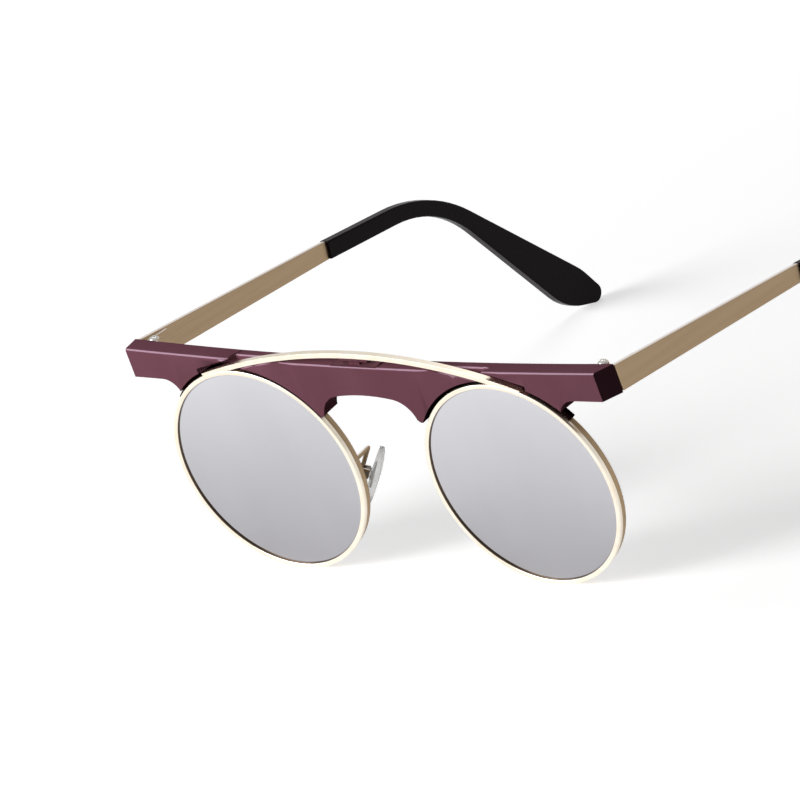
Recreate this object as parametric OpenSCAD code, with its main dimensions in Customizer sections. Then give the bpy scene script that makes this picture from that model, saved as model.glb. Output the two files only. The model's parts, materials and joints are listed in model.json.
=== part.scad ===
// Flip up sunglasses: a brow bar with clear lenses, and a wire with mirrored lenses that flips up.
// Sizes in mm. +X is the wearer's left, +Y runs back along the temples, +Z is up.
// The glasses stand open on the bottoms of the front rims and on the ends of the temple tips.

/* [Lenses] */
// Outside diameter of a front rim
rim_d = 50; // [48:0.5:51]
// Gap between the two front rims, at the bridge
bridge = 20.9; // [20.4:0.1:22]
// Width of a rim, seen from the front
rim_width = 1.1; // [1:0.05:1.3]
// Depth of a front rim, front to back
rim_depth = 1.2; // [1.1:0.05:1.3]
// Thickness of a mirrored lens
mirror_thick = 0.5; // [0.4:0.05:0.55]
// Gap between a front rim and the rear rim behind it
rim_gap = 0.3; // [0.3:0.05:0.4]
// Depth of a rear rim, front to back
rear_depth = 1.3; // [1.2:0.05:1.5]
// Thickness of a clear lens
clear_thick = 0.6; // [0.5:0.05:0.8]

/* [Brow bar] */
// Lean of the front: the bottoms of the rims stand further back than their tops
front_tilt = 8.8; // [7:0.1:9.5]
// Width of the bar's ends past the rims
bar_past = 5.25; // [5:0.05:5.6]
// Height of the bar above the top of the front rims
bar_rise = 3; // [2.9:0.1:3.2]
// Thickness of the bar in its middle, front to back
bar_thick = 4.8; // [4.5:0.1:5]
// Radius of the bar's back, seen from above
back_r = 1030; // [900:10:1200]
// Radius of the bar's face, seen from above
bow_r = 1300; // [1200:10:1500]
// Rise of the bar's top from the middle to the ends
top_rise = 0.7; // [0:0.1:1]
// Distance of the bar's face in front of the front rims
bar_face = 0.35; // [0.2:0.05:0.6]
// Height of the bar's ends
end_h = 6.25; // [5.9:0.05:6.3]
// Drop of the nose arch below the tops of the front rims
arch_drop = 4.15; // [3.8:0.05:5]
// Free gap between a front rim and the bar's scallop
scallop_gap = 0.65; // [0.6:0.05:0.75]

/* [Arched wire] */
// Underside radius of the arch
wire_r = 142; // [138:0.5:146]
// Height of the wire's section
wire_h = 1.15; // [1:0.05:1.2]
// Depth of the wire, front to back
wire_depth = 1.4; // [1.3:0.05:1.45]
// Height of the wire's underside above the bar
wire_rise = 1.86; // [1.8:0.02:1.95]
// Gap round the wire in the bar's notches
notch_gap = 0.35; // [0.3:0.05:0.4]

/* [Flip hinge] */
// Radius of the knuckles
flip_r = 0.7; // [0.6:0.02:0.72]
// Radius of the pin
flip_pin_r = 0.3; // [0.25:0.01:0.35]
// Running clearance of the pins in the moving knuckles, on the radius
pin_play = 0.04; // [0.02:0.01:0.06]
// Length of the fixed knuckle
flip_mid = 3; // [2.6:0.1:3.4]
// Length of a moving knuckle
flip_side = 2.4; // [2:0.1:2.6]

/* [Temples] */
// Thickness of a metal temple
temple_thick = 1.1; // [1:0.05:1.2]
// Height of a temple behind the front
temple_h = 6.3; // [6:0.1:6.4]
// Height of a temple where the tip begins
temple_end_h = 4.2; // [4:0.1:4.3]
// Distance from the front to the start of the tip
tip_start = 66.6; // [60:0.5:70]
// Thickness of the tip, across
tip_thick = 2.4; // [2.2:0.1:2.8]
// Distance from the front to the end of the tip's end round
tip_end = 147.6; // [146:0.2:150]
// Radius of the tip's end
tip_end_r = 2.2; // [2:0.1:2.4]
// Slope of the straight part of the tip
tip_slope = 4; // [3.5:0.1:4.5]

/* [Temple hinges] */
// Radius of the hinge knuckles
knuckle_r = 1.3; // [1.2:0.02:1.32]
// Height of the hinge
knuckle_h = 5; // [4.6:0.1:5.1]
// Radius of the hinge screws
hinge_pin_r = 0.6; // [0.5:0.02:0.65]
// Thickness of the hinge leaves
leaf_thick = 0.8; // [0.7:0.05:0.85]

/* [Nose pads] */
// Length of a nose pad
pad_len = 13; // [12:0.2:14]
// Width of a nose pad
pad_width = 6.5; // [6:0.1:7]
// Thickness of a nose pad in its middle
pad_thick = 2; // [1.9:0.05:2.2]
// Radius of the wire of a pad arm
arm_r = 0.5; // [0.45:0.05:0.6]

/* [Hidden] */
$fn = 64;
fine = 720;
rim_r = rim_d / 2;
rim_in = rim_r - rim_width;
lens_x = bridge / 2 + rim_r;
bar_half = lens_x + rim_r + bar_past;
groove = 0.5;
lens_play = 0.05;
// where the front stands: its origin is between the lens centres, on the face of the front rims
bar_top = rim_r + bar_rise;
front_z = rim_r * cos(front_tilt);
front_min = -max(bar_face * cos(front_tilt) + bar_top * sin(front_tilt),
                 (bar_top + wire_rise + wire_h) * sin(front_tilt));
front_y = -(front_min + tip_end + tip_end_r) / 2;
mirror_y = rim_depth - 0.2 - mirror_thick;
rear_y = rim_depth + rim_gap;
rear_r = rim_r - 0.3;
rear_in = rear_r - rim_width;
rear_back = rear_y + rear_depth;
clear_y = rear_y + (rear_depth - clear_thick) / 2;
scallop_r = rim_r + scallop_gap;
back_y = back_r + bar_thick - bar_face;
bar_cut = 20;
bow_steps = 12;
// ends of the bar
end_low = bar_top - end_h;
end_face = bar_half - 0.35;
end_back = bar_half + 1;
end_y = [1.3, 6.5];
fillet_r = 4.35;
fillet_x = lens_x + rim_r - 3.25;
// nose arch
arch_r = 46;
nose_r = 6.2;
nose_x = 6.9;
arch_top = rim_r - arch_drop;
arch_z = arch_top - arch_r;
nose_z = arch_z + sqrt(pow(arch_r - nose_r, 2) - pow(nose_x, 2));
wing_r = 0.95;
wing_z = rim_r - 9.4;
wing_x = nose_x + nose_r;
// bands that hold the rear rims
hook_outer = 41;
hook_inner = 144;
// arched wire
wire_low = bar_top + wire_rise;
wire_z = wire_low - wire_r;
wire_end = asin((lens_x + 8.6) / wire_r);
notch_back = wire_depth + 1;
// flip hinge
flip_y = 1.2;
flip_z = wire_low - 0.08 - flip_r;
flip_gap = 0.1;
flip_half = flip_mid / 2 + flip_gap + flip_side;
flange_x = 6.4;
flange_y = 1.3;
flange_t = 0.6;
flange_screw = 5.2;
// temples
hinge_x = bar_half - 2.9;
hinge_y = back_y - sqrt(pow(back_r, 2) - pow(hinge_x, 2)) + knuckle_r + 0.22;
hinge_low = end_low + 0.2;
knuckle_gap = 0.05;
knuckle_top = knuckle_h / 3 - knuckle_gap / 2;
strip_x = bar_half + 0.15;
strip_mid = strip_x + temple_thick / 2;
strip_start = back_y - sqrt(pow(back_r, 2) - pow(bar_half, 2)) + 0.28;
strip_top = front_z + bar_top;
core_h = 2.4;
core_len = 22;
tip_top = strip_top - 3.92;
screw_r = 0.45;
screw_head = 0.8;
plate_len = 9.4;
plate_h = 4.4;
plate_sink = 0.1;
plate_turn = asin((hinge_x - 6.1) / back_r);
plate_holes = [-2.8, 1.6];
// nose pads
pad_at = [lens_x - rim_r + 2.05, 7.25, -4.4];
pad_turn = [-6.6, -30, -27];
pad_round = 35;
eye_x = 1.9;
eye_r = 0.9;
pad_pin_r = 0.35;
cup_x = 3.15;
arm_z = 2.6;
arm_rim_r = rear_r - rim_width / 2;
arm_at = [lens_x - sqrt(pow(arm_rim_r, 2) - pow(arm_z, 2)), rear_back, arm_z];
arm_knee = [arm_at[0], 6.9, arm_z];
arm_end = pad_at + cup_x * [cos(pad_turn[1]) * cos(pad_turn[2]),
                            cos(pad_turn[1]) * sin(pad_turn[2]), -sin(pad_turn[1])];

function unit(v) = v / norm(v);
// distance back from the front's origin at height z, on a plane parallel to the rims
function lean(depth, z) = (depth - (z - front_z) * sin(front_tilt)) / cos(front_tilt);

// points of an arc of radius r that rounds the corner b between the lines to a and c
function round_off(a, b, c, r, steps) =
    let (u = unit(a - b), v = unit(c - b), half = acos(u * v) / 2)
    let (centre = b + unit(u + v) * r / sin(half), first = b + u * r / tan(half) - centre)
    let (turn = (180 - 2 * half) * (u[0] * v[1] - u[1] * v[0] > 0 ? -1 : 1))
    [for (i = [0 : steps]) centre + [first[0] * cos(turn * i / steps) - first[1] * sin(turn * i / steps),
                                     first[0] * sin(turn * i / steps) + first[1] * cos(turn * i / steps)]];

// the leaning front
module front() {
    translate([0, front_y, front_z])
        rotate([front_tilt, 0, 0])
            children();
}

// the wearer's left is drawn, the right is its mirror image
module side(s) {
    if (s > 0) {
        children();
    } else {
        mirror([1, 0, 0])
            children();
    }
}

// a flat shape drawn from the front, between two depths
module slab(y0, y1) {
    translate([0, y1, 0])
        rotate([90, 0, 0])
            linear_extrude(y1 - y0)
                children();
}

// a flat shape drawn from the side, between two widths
module plank(x0, x1) {
    translate([x0, front_y, 0])
        rotate([90, 0, 90])
            linear_extrude(x1 - x0)
                children();
}

module disc(y0, y1, r) {
    translate([lens_x, y1, 0])
        rotate([90, 0, 0])
            cylinder(h = y1 - y0, r = r);
}

module rod(a, b, r) {
    d = b - a;
    translate(a)
        rotate([0, acos(d[2] / norm(d)), atan2(d[1], d[0])])
            cylinder(h = norm(d), r = r);
}

module cross_rod(x0, x1, r) {
    translate([x0, 0, 0])
        rotate([0, 90, 0])
            cylinder(h = x1 - x0, r = r);
}

module ring_sector(r0, r1, a0, a1) {
    far = 2 * r1;
    mid = (a0 + a1) / 2;
    intersection() {
        difference() {
            circle(r1, $fn = fine);
            circle(r0, $fn = fine);
        }
        polygon([[0, 0], [far * cos(a0), far * sin(a0)], [far * cos(mid), far * sin(mid)],
                 [far * cos(a1), far * sin(a1)]]);
    }
}

// brow bar
module nose_opening() {
    translate([-wing_x, -5])
        square([2 * wing_x, nose_z + 5]);
    for (s = [-1, 1])
        translate([s * nose_x, nose_z])
            circle(nose_r);
    intersection() {
        translate([0, arch_z])
            circle(arch_r, $fn = 360);
        polygon([[0, arch_z], [2 * nose_x, arch_z + 2 * (nose_z - arch_z)],
                 [-2 * nose_x, arch_z + 2 * (nose_z - arch_z)]]);
        translate([-bar_cut, nose_z - 2])
            square([2 * bar_cut, bar_cut]);
    }
}

// the bar seen from above: a face and a back of two radii, and ends that widen towards the temples
module bow_outline() {
    end_slope = (end_back - end_face) / (end_y[1] - end_y[0]);
    intersection() {
        polygon([for (i = [-bow_steps : bow_steps])
                     let (x = (bar_half + 3) * i / bow_steps)
                     [x, bow_r - bar_face - sqrt(pow(bow_r, 2) - pow(x, 2))],
                 for (i = [bow_steps : -1 : -bow_steps])
                     let (x = (bar_half + 3) * i / bow_steps)
                     [x, back_y - sqrt(pow(back_r, 2) - pow(x, 2))]]);
        polygon([[-end_face + end_slope * bar_cut, end_y[0] - bar_cut],
                 [end_face - end_slope * bar_cut, end_y[0] - bar_cut],
                 [end_face + end_slope * bar_cut, end_y[0] + bar_cut],
                 [-end_face - end_slope * bar_cut, end_y[0] + bar_cut]]);
    }
}

// the top of the bar and the undersides of its ends, seen from the front
module bar_ends() {
    span = bar_half + 3;
    difference() {
        polygon([[-span, 0], [span, 0],
                 for (i = [bow_steps : -1 : -bow_steps])
                     [span * i / bow_steps, bar_top + top_rise * pow(span * i / bow_steps / bar_half, 2)]]);
        for (s = [-1, 1])
            scale([s, 1]) {
                translate([fillet_x, -bar_cut])
                    square([bar_cut, end_low + bar_cut]);
                translate([fillet_x, end_low - fillet_r])
                    circle(fillet_r);
                translate([fillet_x - fillet_r, -bar_cut])
                    square([fillet_r + 1, end_low - fillet_r + bar_cut]);
            }
    }
}

module bar_half_cuts() {
    translate([lens_x, 0])
        circle(scallop_r, $fn = fine);
    translate([wing_x - 0.1, -1])
        square([6, wing_z + 1]);
}

module bar_outline() {
    difference() {
        translate([-bar_half - 3, 0])
            square([2 * bar_half + 6, bar_top + 3]);
        nose_opening();
        bar_half_cuts();
        mirror([1, 0])
            bar_half_cuts();
    }
    for (s = [-1, 1])
        translate([s * (wing_x + wing_r), wing_z])
            circle(wing_r);
}

module notch() {
    slab(-5, notch_back)
        difference() {
            polygon([[18, bar_top + 2], [lens_x, bar_top + 2], [lens_x, bar_top - 0.05],
                     [lens_x + 10.3, bar_top - 3.15], [lens_x + 10.3, bar_top - 5.2], [18, bar_top - 5.2]]);
            translate([0, wire_z])
                circle(wire_r - notch_gap, $fn = fine);
        }
}

// the frame of a hinge plate: its middle on the bar's back, +Y away from the bar
module plate_frame() {
    translate([0, back_y, 0])
        rotate([0, 0, plate_turn])
            translate([0, -back_r, hinge_low + knuckle_h / 2])
                children();
}

module plate_screw_holes() {
    plate_frame()
        for (u = plate_holes)
            translate([u, leaf_thick, 0])
                rotate([90, 0, 0])
                    cylinder(h = 3, r = screw_r);
}

module flange_screw_holes() {
    for (s = [-1, 1])
        translate([s * flange_screw, flip_y, bar_top - 3])
            cylinder(h = 3 + 0.01, r = screw_r - 0.05);
}

module brow_bar() {
    color([0.42, 0.26, 0.3])
        front()
            difference() {
                union() {
                    intersection() {
                        slab(-bar_cut, bar_cut)
                            bar_outline();
                        translate([0, -bar_face, bar_top])
                            rotate([-front_tilt, 0, 0])
                                translate([0, bar_face, -bar_top])
                                    slab(-bar_cut, bar_cut)
                                        bar_ends();
                        linear_extrude(3 * bar_cut)
                            bow_outline();
                    }
                    for (s = [-1, 1])
                        side(s)
                            slab(rear_y, rear_back)
                                translate([lens_x, 0])
                                    ring_sector(rear_r, scallop_r, hook_outer, hook_inner);
                }
                for (s = [-1, 1])
                    side(s) {
                        notch();
                        plate_frame()
                            translate([-plate_len / 2, -plate_sink, -plate_h / 2])
                                cube([plate_len, 3, plate_h]);
                        plate_screw_holes();
                    }
                translate([-flange_x, flip_y - flange_y, bar_top - flange_t])
                    cube([2 * flange_x, 2 * flange_y, 3]);
                translate([-flip_mid / 2, flip_y - flip_r + 0.2, bar_top - 2])
                    cube([flip_mid, 2 * flip_r - 0.4, 3]);
                flange_screw_holes();
            }
}

// front rims and mirrored lenses
module front_rim(s) {
    color([0.95, 0.9, 0.8])
        front()
            side(s)
                difference() {
                    disc(0, rim_depth, rim_r);
                    disc(-1, rim_depth + 1, rim_in);
                    disc(mirror_y, mirror_y + mirror_thick, rim_in + groove);
                }
}

module mirror_lens(s) {
    color([0.75, 0.75, 0.78])
        front()
            side(s)
                disc(mirror_y, mirror_y + mirror_thick, rim_in + groove - lens_play);
}

// rear rims and clear lenses
module rear_rim(s) {
    color([0.7, 0.6, 0.45])
        front()
            side(s)
                difference() {
                    disc(rear_y, rear_back, rear_r);
                    disc(rear_y - 1, rear_back + 1, rear_in);
                    disc(clear_y, clear_y + clear_thick, rear_in + groove);
                }
}

module clear_lens(s) {
    color([0.85, 0.88, 0.9])
        front()
            side(s)
                disc(clear_y, clear_y + clear_thick, rear_in + groove - lens_play);
}

// arched wire, soldered on the front rims
module arch_wire() {
    color([0.95, 0.9, 0.8])
        front()
            difference() {
                slab(0, wire_depth)
                    translate([0, wire_z])
                        ring_sector(wire_r, wire_r + wire_h, 90 - wire_end, 90 + wire_end);
                for (s = [-1, 1])
                    side(s)
                        disc(-1, wire_depth + 1, rim_r);
                translate([0, flip_y, flip_z])
                    cross_rod(-flip_mid / 2 - flip_gap, flip_mid / 2 + flip_gap, flip_r + 0.15);
            }
}

// flip hinge
module flip_hinge_leaf() {
    low = flip_r + 0.15;
    high = wire_low + 0.6 - flip_z;
    color([0.3, 0.2, 0.22])
        front()
            translate([0, flip_y, flip_z])
                difference() {
                    union() {
                        for (s = [-1, 1])
                            side(s) {
                                translate([flip_mid / 2 + flip_gap, wire_depth - flip_y, 0])
                                    cube([flip_side, 0.6, high]);
                                cross_rod(flip_mid / 2 + flip_gap, flip_half, flip_r);
                            }
                        translate([-flip_half, wire_depth - flip_y, low])
                            cube([2 * flip_half, 0.6, high - low]);
                    }
                    cross_rod(-flip_half - 1, flip_half + 1, flip_pin_r);
                }
}

module flip_hinge_pin() {
    color([0.5, 0.5, 0.52])
        front()
            translate([0, flip_y, flip_z])
                cross_rod(-flip_half, flip_half, flip_pin_r);
}

module flip_hinge_base() {
    color([0.3, 0.2, 0.22])
        front()
            difference() {
                union() {
                    translate([-flange_x, flip_y - flange_y, bar_top - flange_t])
                        cube([2 * flange_x, 2 * flange_y, flange_t]);
                    translate([-flip_mid / 2, flip_y - flip_r + 0.2, bar_top - 2])
                        cube([flip_mid, 2 * flip_r - 0.4, flip_z - bar_top + 2]);
                    translate([0, flip_y, flip_z])
                        cross_rod(-flip_mid / 2, flip_mid / 2, flip_r);
                }
                translate([0, flip_y, flip_z])
                    cross_rod(-flip_mid, flip_mid, flip_pin_r + pin_play);
                flange_screw_holes();
                for (s = [-1, 1])
                    translate([s * flange_screw, flip_y, bar_top - 0.3])
                        cylinder(h = 1, r = screw_head);
            }
}

module flip_base_screws() {
    color([0.5, 0.5, 0.52])
        front()
            for (s = [-1, 1])
                translate([s * flange_screw, flip_y, 0]) {
                    translate([0, 0, bar_top - 3])
                        cylinder(h = 2.8, r = screw_r - 0.05);
                    difference() {
                        translate([0, 0, bar_top - 0.3])
                            cylinder(h = 0.3, r = screw_head);
                        translate([-1, -0.12, bar_top - 0.12])
                            cube([2, 0.24, 1]);
                    }
                }
}

// temple hinges
module knuckle(z0, z1) {
    translate([hinge_x, hinge_y, hinge_low + z0])
        cylinder(h = z1 - z0, r = knuckle_r);
}

module hinge_bore(r) {
    translate([hinge_x, hinge_y, hinge_low - 1])
        cylinder(h = knuckle_h + 2, r = r);
}

module hinge_plate(s) {
    color([0.6, 0.55, 0.42])
        front()
            side(s)
                difference() {
                    union() {
                        plate_frame()
                            translate([-plate_len / 2, -plate_sink, -plate_h / 2])
                                cube([plate_len, leaf_thick, plate_h]);
                        for (z = [0, knuckle_h - knuckle_top]) {
                            knuckle(z, z + knuckle_top);
                            translate([hinge_x - 2, hinge_y - knuckle_r - 0.05, hinge_low + z])
                                cube([2, 0.8, knuckle_top]);
                        }
                    }
                    hinge_bore(hinge_pin_r);
                    plate_screw_holes();
                }
}

module hinge_plate_screws() {
    color([0.5, 0.5, 0.52])
        front()
            for (s = [-1, 1])
                side(s)
                    plate_frame()
                        for (u = plate_holes)
                            translate([u, leaf_thick - plate_sink, 0])
                                rotate([90, 0, 0])
                                    difference() {
                                        union() {
                                            cylinder(h = 2.9 - plate_sink, r = screw_r);
                                            translate([0, 0, -0.35])
                                                cylinder(h = 0.35, r = screw_head);
                                        }
                                        translate([-1, -0.12, -0.6])
                                            cube([2, 0.24, 0.4]);
                                    }
}

module hinge_screw(s) {
    head_z = hinge_low + knuckle_h;
    color([0.75, 0.72, 0.65])
        front()
            side(s)
                translate([hinge_x, hinge_y, 0]) {
                    translate([0, 0, hinge_low])
                        cylinder(h = knuckle_h, r = hinge_pin_r);
                    difference() {
                        intersection() {
                            translate([0, 0, head_z])
                                cylinder(h = 1, r = 1.1);
                            translate([0, 0, head_z - 0.55])
                                sphere(1.33);
                        }
                        translate([-2, -0.15, head_z + 0.5])
                            cube([4, 0.3, 1]);
                    }
                }
}

module temple_leaf(s) {
    arm_y = hinge_y + knuckle_r - 0.9;
    mid = knuckle_h - 2 * (knuckle_top + knuckle_gap);
    pad_y = lean(hinge_y - 0.2, strip_top - 3);
    color([0.6, 0.55, 0.42])
        side(s) {
            front()
                difference() {
                    union() {
                        knuckle(knuckle_top + knuckle_gap, knuckle_h - knuckle_top - knuckle_gap);
                        translate([hinge_x, arm_y, hinge_low + knuckle_top + knuckle_gap])
                            cube([strip_x - hinge_x - leaf_thick / 2, 0.9, mid]);
                    }
                    hinge_bore(hinge_pin_r + pin_play);
                }
            translate([strip_x - leaf_thick, front_y + pad_y, strip_top - 4.6])
                cube([leaf_thick, 7, 3.8]);
        }
}

// temples
module temple_core() {
    low = strip_top - 3.92 - (temple_end_h + core_h) / 2;
    drop = core_len * tan(tip_slope);
    polygon([[tip_start - 1, low + core_h], [tip_start - 1, low], [tip_start, low],
             [tip_start + core_len, low - drop], [tip_start + core_len, low - drop + core_h],
             [tip_start, low + core_h]]);
}

module temple(s) {
    color([0.66, 0.57, 0.44])
        side(s)
            plank(strip_x, strip_x + temple_thick) {
                polygon([[lean(strip_start, strip_top), strip_top],
                         [lean(strip_start, strip_top - temple_h), strip_top - temple_h],
                         [tip_start, tip_top - temple_end_h], [tip_start, tip_top]]);
                temple_core();
            }
}

// outline of a tip: straight over the ear, round the bend and down to the paddle's end
module tip_outline() {
    top = [tip_start, tip_top];
    low = [tip_start, tip_top - temple_end_h];
    end = [tip_end, tip_end_r];
    heel = [tip_end - 9.9, 2.55];
    edge = [tip_end - 2.6, tip_end_r + 6.9];
    bend_top = [102.7, tip_top - (102.7 - tip_start) * tan(tip_slope + 0.2)];
    bend_low = [103.9, tip_top - temple_end_h - (103.9 - tip_start) * tan(tip_slope - 0.2)];
    end_corner = end + tip_end_r / cos(71) * [cos(33), -sin(33)];
    polygon(concat([top], round_off(top, bend_top, edge, 44, 12), round_off(bend_top, edge, end_corner, 20, 3),
                   round_off(edge, end_corner, heel, tip_end_r, 16), round_off(end_corner, heel, bend_low, 17, 6),
                   round_off(heel, bend_low, low, 34, 12), [low]));
}

module temple_tip(s) {
    color([0.1, 0.05, 0.05])
        side(s)
            difference() {
                plank(strip_mid - tip_thick / 2, strip_mid + tip_thick / 2)
                    tip_outline();
                plank(strip_x, strip_x + temple_thick)
                    temple_core();
            }
}

// nose pads
module pad_frame() {
    translate(pad_at)
        rotate(pad_turn)
            children();
}

module along_y(x, y0, y1, r) {
    translate([x, y1, 0])
        rotate([90, 0, 0])
            cylinder(h = y1 - y0, r = r);
}

module pad_arm(s) {
    color([0.6, 0.55, 0.42])
        front()
            side(s)
                difference() {
                    union() {
                        rod(arm_at, arm_knee, arm_r);
                        translate(arm_knee)
                            sphere(arm_r);
                        rod(arm_knee, arm_end, arm_r);
                        pad_frame()
                            translate([1.35, -1.25, -1.1])
                                cube([2, 2.5, 2.2]);
                    }
                    pad_frame() {
                        translate([0, -eye_r + 0.1, -2])
                            cube([2.95, 2 * (eye_r - 0.1), 4]);
                        along_y(eye_x, -2, 2, pad_pin_r);
                    }
                }
}

module pad_screw(s) {
    color([0.5, 0.5, 0.52])
        front()
            side(s)
                pad_frame() {
                    along_y(eye_x, -1.25, 1.25, pad_pin_r);
                    along_y(eye_x, 1.25, 1.55, 0.6);
                }
}

module stud_shape() {
    translate([0.2, -1.6, -2.4])
        cube([0.4, 3.2, 4.8]);
    translate([0.4, 0.1 - eye_r + 0.1, -eye_r])
        cube([eye_x - 0.4, 2 * (eye_r - 0.2), 2 * eye_r]);
}

module pad_stud(s) {
    color([0.8, 0.78, 0.75])
        front()
            side(s)
                pad_frame()
                    difference() {
                        union() {
                            stud_shape();
                            along_y(eye_x, 0.2 - eye_r, eye_r - 0.2, eye_r);
                        }
                        along_y(eye_x, -2, 2, pad_pin_r + pin_play);
                    }
}

module pad_curve(e) {
    translate([e * (pad_round - pad_thick / 2), pad_width, 0])
        rotate([90, 0, 0])
            cylinder(h = 2 * pad_width, r = pad_round, $fn = fine);
}

module nose_pad(s) {
    straight = pad_len - pad_width;
    color([0.85, 0.85, 0.85])
        front()
            side(s)
                pad_frame()
                    difference() {
                        intersection() {
                            translate([-3, 0, 0])
                                rotate([0, 90, 0])
                                    linear_extrude(6) {
                                        translate([-straight / 2, -pad_width / 2])
                                            square([straight, pad_width]);
                                        for (e = [-1, 1])
                                            translate([e * straight / 2, 0])
                                                circle(pad_width / 2);
                                    }
                            pad_curve(1);
                            pad_curve(-1);
                        }
                        stud_shape();
                    }
}

brow_bar();
front_rim(1);  // left_front_rim
front_rim(-1);  // right_front_rim
mirror_lens(1);  // left_mirror_lens
mirror_lens(-1);  // right_mirror_lens
arch_wire();
flip_hinge_leaf();
flip_hinge_pin();
flip_hinge_base();
flip_base_screws();
rear_rim(1);  // left_rear_rim
rear_rim(-1);  // right_rear_rim
clear_lens(1);  // left_clear_lens
clear_lens(-1);  // right_clear_lens
hinge_plate(1);  // left_hinge_plate
hinge_plate(-1);  // right_hinge_plate
hinge_plate_screws();
hinge_screw(1);  // left_hinge_screw
hinge_screw(-1);  // right_hinge_screw
temple_leaf(1);  // left_temple_leaf
temple_leaf(-1);  // right_temple_leaf
temple(1);  // left_temple
temple(-1);  // right_temple
temple_tip(1);  // left_temple_tip
temple_tip(-1);  // right_temple_tip
pad_arm(1);  // left_pad_arm
pad_arm(-1);  // right_pad_arm
pad_screw(1);  // left_pad_screw
pad_screw(-1);  // right_pad_screw
pad_stud(1);  // left_pad_stud
pad_stud(-1);  // right_pad_stud
nose_pad(1);  // left_nose_pad
nose_pad(-1);  // right_nose_pad
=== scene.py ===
# Flip up sunglasses for Blender 4.5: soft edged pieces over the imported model, in metres.
import json
from math import cos, pi, radians, sin

import bmesh
import bpy
from mathutils import Matrix, Vector


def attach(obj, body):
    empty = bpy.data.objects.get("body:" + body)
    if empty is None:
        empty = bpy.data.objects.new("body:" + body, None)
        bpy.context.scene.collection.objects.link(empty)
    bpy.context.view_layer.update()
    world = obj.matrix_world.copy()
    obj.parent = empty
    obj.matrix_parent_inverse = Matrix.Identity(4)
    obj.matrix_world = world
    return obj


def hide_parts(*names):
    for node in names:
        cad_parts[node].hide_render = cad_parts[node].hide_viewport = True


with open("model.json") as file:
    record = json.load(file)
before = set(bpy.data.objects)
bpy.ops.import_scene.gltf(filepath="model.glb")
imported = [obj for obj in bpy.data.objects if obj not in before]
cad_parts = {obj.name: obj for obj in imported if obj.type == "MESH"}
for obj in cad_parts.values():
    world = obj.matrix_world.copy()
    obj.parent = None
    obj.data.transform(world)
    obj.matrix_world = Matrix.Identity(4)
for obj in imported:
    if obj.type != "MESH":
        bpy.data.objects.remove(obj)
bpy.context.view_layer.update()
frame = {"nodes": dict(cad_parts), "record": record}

record = frame["record"]
slotOf = {part["node"]: part["material_slot"] for part in record["subparts"]}
bodyOf = {node: body for body, nodes in record["behaviour"]["bodies"].items() for node in nodes}
mm = 0.001

# the front leans back at its foot; its own origin lies between the lenses
front = {"tilt": radians(8.8), "y": -72.528 * mm, "z": 24.7057 * mm, "lensX": 35.45 * mm}
frontMatrix = Matrix.Translation((0, front["y"], front["z"])) @ Matrix.Rotation(front["tilt"], 4, "X")


# camera at the photo's angle; azimuth 0 looks along +Y
camera = {"azimuth": 43.176, "elevation": 19.074, "roll": -13.89, "distance": 3.04487,
          "aim": (0.000212, -0.065267, 0.039601), "lens": 642.9}


def addCamera():
    azimuth = radians(camera["azimuth"])
    elevation = radians(camera["elevation"])
    back = Vector((sin(azimuth) * cos(elevation), -cos(azimuth) * cos(elevation), sin(elevation)))
    right = Vector((cos(azimuth), sin(azimuth), 0))
    turn = Matrix((right, back.cross(right), back)).transposed().to_4x4()
    turn = turn @ Matrix.Rotation(radians(camera["roll"]), 4, "Z")
    data = bpy.data.cameras.new("photoCamera")
    data.lens = camera["lens"]
    data.sensor_width = 36
    data.clip_start = 0.1
    data.clip_end = 20
    cam = bpy.data.objects.new("photoCamera", data)
    cam.matrix_world = Matrix.Translation(Vector(camera["aim"]) + back * camera["distance"]) @ turn
    bpy.context.collection.objects.link(cam)
    bpy.context.scene.camera = cam


addCamera()
print("camera placed")


# materials
def newMaterial(name):
    mat = bpy.data.materials.new(name)
    mat.use_nodes = True
    shader = mat.node_tree.nodes["Principled BSDF"]
    return mat, mat.node_tree, shader


def addNoise(tree, scale, detail=3.0, stretch=(1, 1, 1)):
    coords = tree.nodes.new("ShaderNodeTexCoord")
    mapping = tree.nodes.new("ShaderNodeMapping")
    mapping.inputs["Scale"].default_value = stretch
    noise = tree.nodes.new("ShaderNodeTexNoise")
    noise.inputs["Scale"].default_value = scale
    noise.inputs["Detail"].default_value = detail
    tree.links.new(coords.outputs["Object"], mapping.inputs["Vector"])
    tree.links.new(mapping.outputs["Vector"], noise.inputs["Vector"])
    return noise


def ramp(tree, source, low, high, spread=(0.3, 0.7)):
    colours = tree.nodes.new("ShaderNodeValToRGB")
    colours.color_ramp.elements[0].position = spread[0]
    colours.color_ramp.elements[0].color = (*low, 1)
    colours.color_ramp.elements[1].position = spread[1]
    colours.color_ramp.elements[1].color = (*high, 1)
    tree.links.new(source, colours.inputs["Fac"])
    return colours


def roughen(tree, shader, source, low, high):
    spread = tree.nodes.new("ShaderNodeMapRange")
    spread.inputs["To Min"].default_value = low
    spread.inputs["To Max"].default_value = high
    tree.links.new(source, spread.inputs["Value"])
    tree.links.new(spread.outputs["Result"], shader.inputs["Roughness"])


def addBump(tree, shader, source, strength, depth):
    bump = tree.nodes.new("ShaderNodeBump")
    bump.inputs["Strength"].default_value = strength
    bump.inputs["Distance"].default_value = depth
    tree.links.new(source, bump.inputs["Height"])
    tree.links.new(bump.outputs["Normal"], shader.inputs["Normal"])


def sumOf(tree, operation, *values):
    node = tree.nodes.new("ShaderNodeMath")
    node.operation = operation
    for place, value in zip(node.inputs, values):
        if isinstance(value, (int, float)):
            place.default_value = value
        else:
            tree.links.new(value, place)
    return node.outputs[0]


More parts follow.
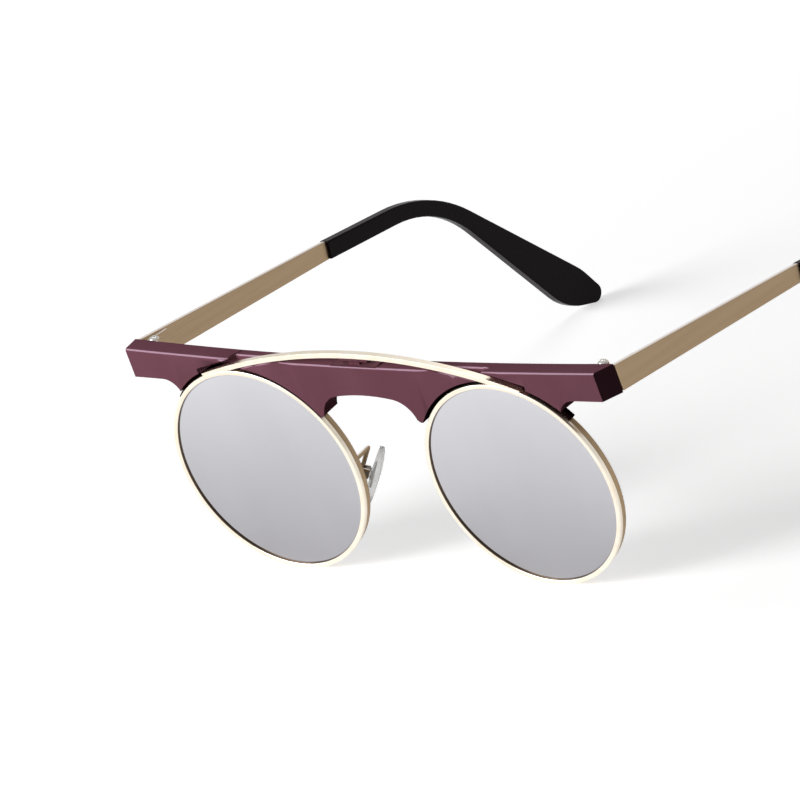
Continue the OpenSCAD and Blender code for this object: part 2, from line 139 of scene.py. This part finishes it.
# a second colour laid over the first where the mask is 1
def paintOver(tree, mask, under, colour):
    mix = tree.nodes.new("ShaderNodeMix")
    mix.data_type = "RGBA"
    mix.inputs[7].default_value = (*colour, 1)
    tree.links.new(mask, mix.inputs[0])
    tree.links.new(under, mix.inputs[6])
    return mix.outputs[2]


def slope(tree, source, low, high):
    spread = tree.nodes.new("ShaderNodeMapRange")
    spread.inputs["From Min"].default_value = low
    spread.inputs["From Max"].default_value = high
    tree.links.new(source, spread.inputs["Value"])
    return spread.outputs["Result"]


# distance from the axis of the nearest lens
def lensPlace(tree):
    coords = tree.nodes.new("ShaderNodeTexCoord")
    mapping = tree.nodes.new("ShaderNodeMapping")
    mapping.vector_type = "TEXTURE"
    mapping.inputs["Location"].default_value = (0, front["y"], front["z"])
    mapping.inputs["Rotation"].default_value = (front["tilt"], 0, 0)
    split = tree.nodes.new("ShaderNodeSeparateXYZ")
    tree.links.new(coords.outputs["Object"], mapping.inputs["Vector"])
    tree.links.new(mapping.outputs["Vector"], split.inputs["Vector"])
    across = sumOf(tree, "SUBTRACT", sumOf(tree, "ABSOLUTE", split.outputs["X"]), front["lensX"])
    acrossSquare = sumOf(tree, "POWER", across, 2.0)
    upSquare = sumOf(tree, "POWER", split.outputs["Z"], 2.0)
    return sumOf(tree, "SQRT", sumOf(tree, "ADD", acrossSquare, upSquare))


# scallop is a near-black painted shade for the scallops; edge is a paler painted highlight on the top front edge
plum = {"low": (0.232, 0.090, 0.121), "high": (0.258, 0.106, 0.140), "scallop": (0.012, 0.004, 0.006),
        "scallopShadeFrom": 25.83 * mm, "scallopShadeTo": 25.76 * mm, "edge": (0.62, 0.38, 0.50),
        "highlightFacing": (0.0, -0.71, 0.704), "highlightFrom": 0.88, "highlightTo": 0.96, "highlightCoat": 0.25}


def plumPaint():
    mat, tree, shader = newMaterial("plumAcetate")
    cloud = addNoise(tree, 90, 4, (1, 1, 0.4))
    tone = ramp(tree, cloud.outputs["Fac"], plum["low"], plum["high"])
    # painted shade: the bar is painted near-black inside the scallop radius, on the scallop walls and hooks, as if
    # in shadow
    scallopShade = slope(tree, lensPlace(tree), plum["scallopShadeFrom"], plum["scallopShadeTo"])
    shaded = paintOver(tree, scallopShade, tone.outputs["Color"], plum["scallop"])
    # painted highlight: the rounded edge between face and top is painted paler, with a light coat, where its
    # normal faces forward and up
    coords = tree.nodes.new("ShaderNodeTexCoord")
    facing = tree.nodes.new("ShaderNodeVectorMath")
    facing.operation = "DOT_PRODUCT"
    facing.inputs[1].default_value = plum["highlightFacing"]
    tree.links.new(coords.outputs["Normal"], facing.inputs[0])
    edge = slope(tree, facing.outputs["Value"], plum["highlightFrom"], plum["highlightTo"])
    tree.links.new(paintOver(tree, edge, shaded, plum["edge"]), shader.inputs["Base Color"])
    tree.links.new(sumOf(tree, "MULTIPLY", edge, plum["highlightCoat"]), shader.inputs["Coat Weight"])
    grain = addNoise(tree, 2600, 2)
    roughen(tree, shader, grain.outputs["Fac"], 0.24, 0.34)
    addBump(tree, shader, grain.outputs["Fac"], 0.08, 0.00003)
    shader.inputs["Specular IOR Level"].default_value = 0.0
    shader.inputs["Coat Roughness"].default_value = 0.35
    shader.inputs["Coat IOR"].default_value = 1.5
    return mat


# wall is a dark painted shade on the rims' inner wall
gold = {"low": (0.93, 0.82, 0.66), "high": (0.97, 0.89, 0.77), "wallShade": (0.14, 0.10, 0.07),
        "wallShadeFrom": 23.99 * mm, "wallShadeTo": 23.93 * mm}


def paleGold():
    mat, tree, shader = newMaterial("paleGold")
    cloud = addNoise(tree, 300, 3)
    tone = ramp(tree, cloud.outputs["Fac"], gold["low"], gold["high"])
    # painted shade: the inner wall of the rims is painted dark, as if in shadow beside the lens
    wallShade = slope(tree, lensPlace(tree), gold["wallShadeFrom"], gold["wallShadeTo"])
    tree.links.new(paintOver(tree, wallShade, tone.outputs["Color"], gold["wallShade"]), shader.inputs["Base Color"])
    shader.inputs["Metallic"].default_value = 1.0
    grain = addNoise(tree, 3200, 2)
    roughen(tree, shader, grain.outputs["Fac"], 0.26, 0.36)
    addBump(tree, shader, grain.outputs["Fac"], 0.08, 0.00002)
    return mat


# edge is a pale painted highlight on faces that look upward
tan = {"low": (0.42, 0.295, 0.175), "high": (0.465, 0.335, 0.205), "edge": (0.90, 0.82, 0.76),
       "highlightFrom": 0.75, "highlightTo": 0.9}


def tanGold():
    mat, tree, shader = newMaterial("tanGold")
    brushed = addNoise(tree, 500, 4, (3, 0.06, 3))
    tone = ramp(tree, brushed.outputs["Fac"], tan["low"], tan["high"])
    # painted highlight: faces that look upward, the strips' upper edges, are painted pale as if lit from above
    coords = tree.nodes.new("ShaderNodeTexCoord")
    split = tree.nodes.new("ShaderNodeSeparateXYZ")
    tree.links.new(coords.outputs["Normal"], split.inputs["Vector"])
    upperHighlight = slope(tree, split.outputs["Z"], tan["highlightFrom"], tan["highlightTo"])
    tree.links.new(paintOver(tree, upperHighlight, tone.outputs["Color"], tan["edge"]), shader.inputs["Base Color"])
    shader.inputs["Metallic"].default_value = 0.85
    roughen(tree, shader, brushed.outputs["Fac"], 0.38, 0.46)
    addBump(tree, shader, brushed.outputs["Fac"], 0.06, 0.00002)
    return mat


def steel():
    mat, tree, shader = newMaterial("steel")
    turned = addNoise(tree, 1800, 3, (1, 1, 4))
    tone = ramp(tree, turned.outputs["Fac"], (0.55, 0.53, 0.50), (0.70, 0.68, 0.65))
    tree.links.new(tone.outputs["Color"], shader.inputs["Base Color"])
    shader.inputs["Metallic"].default_value = 1.0
    roughen(tree, shader, turned.outputs["Fac"], 0.22, 0.34)
    return mat


def darkMetal():
    mat, tree, shader = newMaterial("darkMetal")
    grain = addNoise(tree, 1500, 3)
    tone = ramp(tree, grain.outputs["Fac"], (0.175, 0.062, 0.084), (0.205, 0.076, 0.102))
    tree.links.new(tone.outputs["Color"], shader.inputs["Base Color"])
    shader.inputs["Specular IOR Level"].default_value = 0.04
    roughen(tree, shader, grain.outputs["Fac"], 0.4, 0.55)
    return mat


# line is a dark painted shade round the lens edge, against the rim
mirror = {"foot": (0.345, 0.34, 0.36), "head": (0.64, 0.64, 0.67), "footZ": 2 * mm, "headZ": 48 * mm,
          "cloud": 0.3, "rimShade": (0.10, 0.08, 0.07), "rimShadeFrom": 23.6 * mm, "rimShadeTo": 23.85 * mm, "rimShadeShare": 0.5}


def mirrorCoat():
    mat, tree, shader = newMaterial("mirrorLens")
    # the mirror colour runs darker towards the foot of the lens
    coords = tree.nodes.new("ShaderNodeTexCoord")
    split = tree.nodes.new("ShaderNodeSeparateXYZ")
    tree.links.new(coords.outputs["Object"], split.inputs["Vector"])
    height = slope(tree, split.outputs["Z"], mirror["footZ"], mirror["headZ"])
    cloud = addNoise(tree, 45, 2, (1, 1, 0.5))
    drift = sumOf(tree, "MULTIPLY", sumOf(tree, "SUBTRACT", cloud.outputs["Fac"], 0.5), mirror["cloud"])
    tone = ramp(tree, sumOf(tree, "ADD", height, drift), mirror["foot"], mirror["head"], (0.0, 1.0))
    # painted shade: a dark line is painted round the lens edge at half strength, as if in shadow against the rim
    rimShade = slope(tree, lensPlace(tree), mirror["rimShadeFrom"], mirror["rimShadeTo"])
    rimShadeMask = sumOf(tree, "MULTIPLY", rimShade, mirror["rimShadeShare"])
    tree.links.new(paintOver(tree, rimShadeMask, tone.outputs["Color"], mirror["rimShade"]), shader.inputs["Base Color"])
    shader.inputs["Metallic"].default_value = 1.0
    haze = addNoise(tree, 120, 4)
    roughen(tree, shader, haze.outputs["Fac"], 0.10, 0.16)
    shader.inputs["Coat Weight"].default_value = 0.3
    shader.inputs["Coat Roughness"].default_value = 0.03
    return mat


def clearGlass():
    mat, tree, shader = newMaterial("clearLens")
    haze = addNoise(tree, 150, 3)
    roughen(tree, shader, haze.outputs["Fac"], 0.01, 0.03)
    shader.inputs["Base Color"].default_value = (0.97, 0.98, 0.98, 1)
    shader.inputs["Transmission Weight"].default_value = 1.0
    shader.inputs["IOR"].default_value = 1.5
    return mat


def darkAcetate():
    mat, tree, shader = newMaterial("darkAcetate")
    cloud = addNoise(tree, 70, 4, (1, 0.4, 1))
    tone = ramp(tree, cloud.outputs["Fac"], (0.0075, 0.0022, 0.0032), (0.016, 0.0050, 0.0068))
    tree.links.new(tone.outputs["Color"], shader.inputs["Base Color"])
    grain = addNoise(tree, 1400, 3)
    roughen(tree, shader, grain.outputs["Fac"], 0.22, 0.34)
    addBump(tree, shader, grain.outputs["Fac"], 0.06, 0.00003)
    shader.inputs["Specular IOR Level"].default_value = 0.06
    return mat


def silicone():
    mat, tree, shader = newMaterial("silicone")
    cloud = addNoise(tree, 260, 3)
    tone = ramp(tree, cloud.outputs["Fac"], (0.80, 0.80, 0.79), (0.92, 0.92, 0.91))
    tree.links.new(tone.outputs["Color"], shader.inputs["Base Color"])
    roughen(tree, shader, cloud.outputs["Fac"], 0.18, 0.32)
    shader.inputs["Transmission Weight"].default_value = 0.8
    shader.inputs["IOR"].default_value = 1.41
    return mat


def clearPlastic():
    mat, tree, shader = newMaterial("clearPlastic")
    cloud = addNoise(tree, 400, 3)
    roughen(tree, shader, cloud.outputs["Fac"], 0.08, 0.16)
    shader.inputs["Base Color"].default_value = (0.9, 0.9, 0.88, 1)
    shader.inputs["Transmission Weight"].default_value = 0.7
    shader.inputs["IOR"].default_value = 1.49
    return mat


finishes = {
    "plum_acetate": plumPaint(),
    "pale_gold": paleGold(),
    "tan_gold": tanGold(),
    "steel": steel(),
    "dark_metal": darkMetal(),
    "mirror_lens": mirrorCoat(),
    "clear_lens": clearGlass(),
    "dark_acetate": darkAcetate(),
    "silicone": silicone(),
    "clear_plastic": clearPlastic(),
}

for name, node in frame["nodes"].items():
    node.data.materials.clear()
    node.data.materials.append(finishes[slotOf[name]])
print("finishes made")


# pieces
def addPiece(name, bm, nodes, body=None, finish=None):
    mesh = bpy.data.meshes.new(name)
    bm.to_mesh(mesh)
    bm.free()
    piece = bpy.data.objects.new(name, mesh)
    bpy.context.collection.objects.link(piece)
    slot = finish or slotOf[nodes[0]]
    mesh.materials.append(finishes[slot])
    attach(piece, body or bodyOf[nodes[0]])
    if nodes:
        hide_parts(*nodes)
    return piece


def shade(piece, angle=35):
    for face in piece.data.polygons:
        face.use_smooth = True
    piece.data.set_sharp_from_angle(angle=radians(angle))


# edges softened as on the real pieces: width in mm, segments of the round
softened = {
    "brow_bar": (0.12, 2),
    "arch_wire": (0.16, 2),
    "left_temple": (0.16, 2),
    "right_temple": (0.16, 2),
    "left_temple_tip": (0.8, 4),
    "right_temple_tip": (0.8, 4),
    "left_hinge_plate": (0.1, 2),
    "right_hinge_plate": (0.1, 2),
    "left_temple_leaf": (0.12, 2),
    "right_temple_leaf": (0.12, 2),
    "flip_hinge_base": (0.08, 2),
    "flip_hinge_leaf": (0.08, 2),
    "left_hinge_screw": (0.08, 2),
    "right_hinge_screw": (0.08, 2),
    "left_nose_pad": (0.4, 4),
    "right_nose_pad": (0.4, 4),
    "left_pad_arm": (0.12, 2),
    "right_pad_arm": (0.12, 2),
}


# the bar's long top edge is rounded more than the others, and its scallops are chamfered
barEdges = {"top": 0.6, "topSegments": 6, "scallop": 25.65 * mm, "chamfer": 0.15, "fit": 0.02 * mm}


seam = {"weld": 0.002 * mm, "flat": radians(0.1), "crease": radians(35)}  # what counts as one point, flat, an edge


def lensRadius(point):
    local = frontMatrix.inverted() @ point
    return Vector((abs(local.x) - front["lensX"], 0, local.z)).length


def edgesBetween(bm, test):
    return [edge for edge in bm.edges if len(edge.link_faces) == 2
            and test(edge, *sorted((face.normal for face in edge.link_faces), key=lambda normal: normal.y))]


def roundBarEdges(bm):
    top = edgesBetween(bm, lambda edge, face, other: face.y < -0.9 and other.z > 0.98)
    bmesh.ops.bevel(bm, geom=top, offset=barEdges["top"] * mm, segments=barEdges["topSegments"], profile=0.5,
                    affect="EDGES", material=-1, clamp_overlap=False)
    bm.normal_update()

    def onScallop(edge):
        return all(abs(lensRadius(vert.co) - barEdges["scallop"]) < barEdges["fit"] for vert in edge.verts)

    scallop = edgesBetween(bm, lambda edge, face, other: face.y < -0.9 and abs(other.y) < 0.3 and onScallop(edge))
    bmesh.ops.bevel(bm, geom=scallop, offset=barEdges["chamfer"] * mm, segments=2, profile=0.5,
                    affect="EDGES", material=-1, clamp_overlap=True)


def softenNode(node, width, segments):
    bm = bmesh.new()
    bm.from_mesh(frame["nodes"][node].data)
    bmesh.ops.remove_doubles(bm, verts=bm.verts, dist=seam["weld"])
    bmesh.ops.dissolve_limit(bm, angle_limit=seam["flat"], verts=bm.verts, edges=bm.edges)
    if node == "brow_bar":
        bm.normal_update()
        roundBarEdges(bm)
    piece = addPiece(node + "_piece", bm, [node])
    bevel = piece.modifiers.new("softEdges", "BEVEL")
    bevel.width = width * mm
    bevel.segments = segments
    bevel.limit_method = "ANGLE"
    bevel.angle_limit = seam["crease"]
    bevel.miter_outer = "MITER_ARC"
    shade(piece)


for node, (width, segments) in softened.items():
    softenNode(node, width, segments)
print("edges softened")


# round rims, turned from their own section
rim = {"outer": 25.0 * mm, "inner": 23.9 * mm, "depth": 1.2 * mm, "round": 0.22 * mm,
       "rearOuter": 24.7 * mm, "rearInner": 23.6 * mm, "rearY": 1.5 * mm, "rearDepth": 1.3 * mm, "steps": 180}


def turnRim(node, side, outer, inner, y0, depth):
    bm = bmesh.new()
    corners = [(inner, y0), (outer, y0), (outer, y0 + depth), (inner, y0 + depth)]
    bm.faces.new([bm.verts.new((radius, y, 0)) for radius, y in corners])
    bmesh.ops.bevel(bm, geom=list(bm.verts), offset=rim["round"], segments=3, profile=0.5,
                    affect="VERTICES", material=-1)
    ring = list(bm.edges)
    bmesh.ops.delete(bm, geom=list(bm.faces), context="FACES_ONLY")
    bmesh.ops.spin(bm, geom=ring, cent=(0, 0, 0), axis=(0, 1, 0), angle=2 * pi, steps=rim["steps"],
                   use_merge=True)
    bmesh.ops.remove_doubles(bm, verts=bm.verts, dist=1e-7)
    bmesh.ops.translate(bm, vec=(side * front["lensX"], 0, 0), verts=bm.verts)
    bmesh.ops.transform(bm, matrix=frontMatrix, verts=bm.verts)
    bmesh.ops.recalc_face_normals(bm, faces=bm.faces)
    shade(addPiece(node + "_piece", bm, [node]), 50)


for side, word in ((1, "left"), (-1, "right")):
    turnRim(word + "_front_rim", side, rim["outer"], rim["inner"], 0, rim["depth"])
    turnRim(word + "_rear_rim", side, rim["rearOuter"], rim["rearInner"], rim["rearY"], rim["rearDepth"])
print("rims turned")


# floor, lights and background
studio = {"floor": 6.0, "floorColour": (0.95, 0.95, 0.95, 1), "floorBounce": (0.16, 0.16, 0.16, 1),
          "floorGlow": 0.60, "floorNear": 0.12, "floorFar": 1.0, "worldLight": 0.04, "worldShine": 0.7}


def seenRays(tree, *kinds):
    rays = tree.nodes.new("ShaderNodeLightPath")
    total = rays.outputs[kinds[0]]
    for kind in kinds[1:]:
        total = sumOf(tree, "MAXIMUM", total, rays.outputs[kind])
    return total


def addFloor():
    bm = bmesh.new()
    bmesh.ops.create_grid(bm, x_segments=1, y_segments=1, size=studio["floor"])
    mesh = bpy.data.meshes.new("floor")
    bm.to_mesh(mesh)
    bm.free()
    floor = bpy.data.objects.new("floor", mesh)
    bpy.context.collection.objects.link(floor)
    mat, tree, shader = newMaterial("floorPaper")
    shader.inputs["Roughness"].default_value = 0.9
    shader.inputs["Specular IOR Level"].default_value = 0
    seen = seenRays(tree, "Is Camera Ray", "Is Glossy Ray", "Is Transmission Ray")
    tone = ramp(tree, seen, studio["floorBounce"][:3], studio["floorColour"][:3], (0.0, 1.0))
    tree.links.new(tone.outputs["Color"], shader.inputs["Base Color"])
    shader.inputs["Emission Color"].default_value = (1, 1, 1, 1)
    # the paper keeps its white where the lamps no longer reach
    coords = tree.nodes.new("ShaderNodeTexCoord")
    away = tree.nodes.new("ShaderNodeVectorMath")
    away.operation = "LENGTH"
    tree.links.new(coords.outputs["Object"], away.inputs[0])
    far = slope(tree, away.outputs["Value"], studio["floorNear"], studio["floorFar"])
    gain = sumOf(tree, "MULTIPLY", far, 1.0 - studio["floorGlow"])
    glow = sumOf(tree, "ADD", gain, studio["floorGlow"])
    tree.links.new(sumOf(tree, "MULTIPLY", seen, glow), shader.inputs["Emission Strength"])
    mesh.materials.append(mat)


def addWorld():
    world = bpy.data.worlds.new("studio")
    world.use_nodes = True
    tree = world.node_tree
    plain = tree.nodes["Background"]
    plain.inputs["Color"].default_value = (1, 1, 1, 1)
    shine = tree.nodes.new("ShaderNodeMapRange")
    shine.inputs["To Min"].default_value = studio["worldLight"]
    shine.inputs["To Max"].default_value = studio["worldShine"]
    tree.links.new(seenRays(tree, "Is Glossy Ray"), shine.inputs["Value"])
    tree.links.new(shine.outputs["Result"], plain.inputs["Strength"])
    white = tree.nodes.new("ShaderNodeBackground")
    white.inputs["Strength"].default_value = 1.0
    mix = tree.nodes.new("ShaderNodeMixShader")
    tree.links.new(seenRays(tree, "Is Camera Ray", "Is Transmission Ray"), mix.inputs["Fac"])
    tree.links.new(plain.outputs["Background"], mix.inputs[1])
    tree.links.new(white.outputs["Background"], mix.inputs[2])
    tree.links.new(mix.outputs["Shader"], tree.nodes["World Output"].inputs["Surface"])
    bpy.context.scene.world = world


lamps = {"key": {"place": (-0.6, -1.0, 0.5), "size": 0.7, "watts": 12.8},
         "top": {"place": (-0.35, 0.25, 1.2), "size": 0.6, "watts": 1.8}}
lampAim = (0, 0, 0.03)


def addLamps():
    for name, lamp in lamps.items():
        data = bpy.data.lights.new(name, "AREA")
        data.size = lamp["size"]
        data.energy = lamp["watts"]
        light = bpy.data.objects.new(name, data)
        place = Vector(lamp["place"])
        turn = (place - Vector(lampAim)).to_track_quat("Z", "Y").to_matrix().to_4x4()
        light.matrix_world = Matrix.Translation(place) @ turn
        bpy.context.collection.objects.link(light)


addFloor()
addWorld()
addLamps()
bpy.context.scene.view_settings.view_transform = "Standard"
print("studio set")
